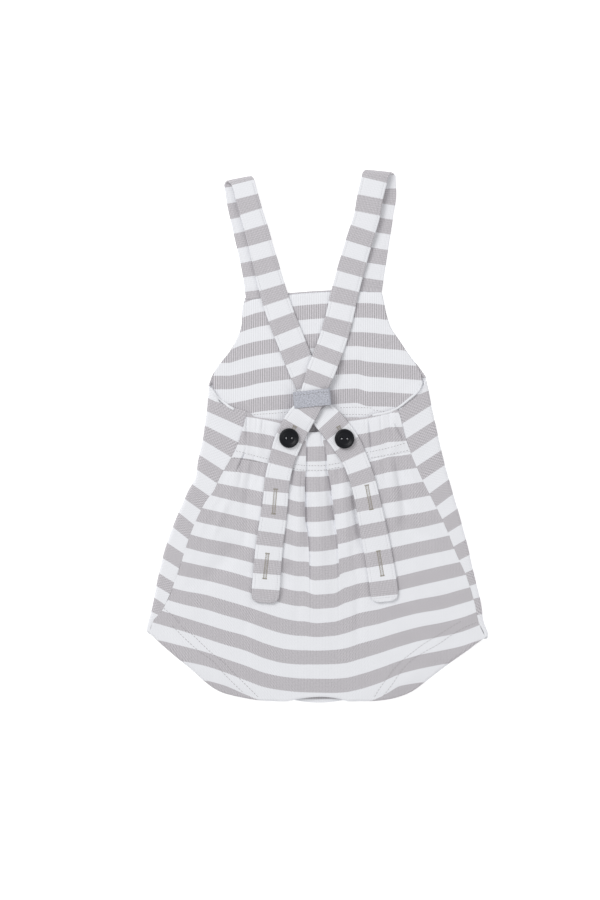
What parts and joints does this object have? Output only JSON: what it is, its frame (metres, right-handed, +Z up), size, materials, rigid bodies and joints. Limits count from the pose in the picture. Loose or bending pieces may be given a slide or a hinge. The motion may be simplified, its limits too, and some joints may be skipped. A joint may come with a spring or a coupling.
{
  "type": "baby romper",
  "caption": "Baby romper in striped jersey laid flat: bib, gathered back with an elastic casing, crossed button straps in a keeper loop, and turned leg hems.",
  "frame": {"origin": "middle of the garment's box on the surface it lies on", "axes": "+Z up from the surface towards the back of the garment, +Y from the crotch to the tops of the straps, +X to the right as the back is looked at from above"},
  "size_m": [0.2596, 0.4049, 0.0112],
  "materials": {
    "front_jersey": "grey and white striped single jersey, outside",
    "facing_jersey": "grey and white striped jersey, inside of the bib",
    "back_jersey": "grey and white striped single jersey, gathered",
    "waistband_jersey": "striped jersey casing over elastic",
    "strap_jersey": "striped jersey, double and edge-stitched",
    "keeper_jersey": "plain grey melange jersey",
    "button_black": "smooth black, slightly glossy"
  },
  "bodies": {
    "root": {"front_panel": "front_jersey", "bib_facing": "facing_jersey", "back_panel": "back_jersey", "back_waistband": "waistband_jersey", "strap_left": "strap_jersey", "strap_right": "strap_jersey", "strap_keeper": "keeper_jersey", "button_left": "button_black", "button_right": "button_black"}
  },
  "joints": []
}
